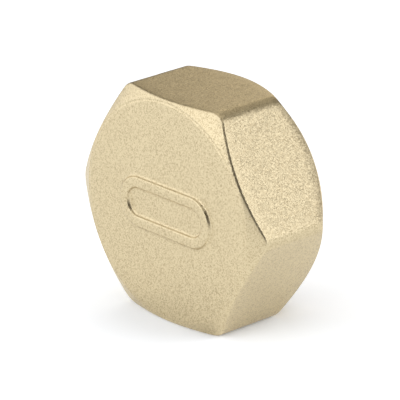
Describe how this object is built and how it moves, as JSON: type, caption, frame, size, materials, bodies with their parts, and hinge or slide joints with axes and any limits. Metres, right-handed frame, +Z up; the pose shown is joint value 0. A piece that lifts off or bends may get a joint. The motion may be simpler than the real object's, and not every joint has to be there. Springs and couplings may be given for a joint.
{
  "type": "threaded pipe cap",
  "caption": "Forged brass hexagonal cap with a blind threaded bore, to close the end of a threaded pipe.",
  "frame": {"origin": "on the thread axis, midway between the closed face and the mouth", "axes": "+Y along the thread axis, out of the mouth; +Z up, square to the wrench flat that the cap stands on; X across two corners"},
  "size_m": [0.0352, 0.0148, 0.031],
  "materials": {
    "brass": "shot-blasted forged skin, turned mouth and thread"
  },
  "bodies": {
    "root": {"cap": "brass"}
  },
  "joints": []
}
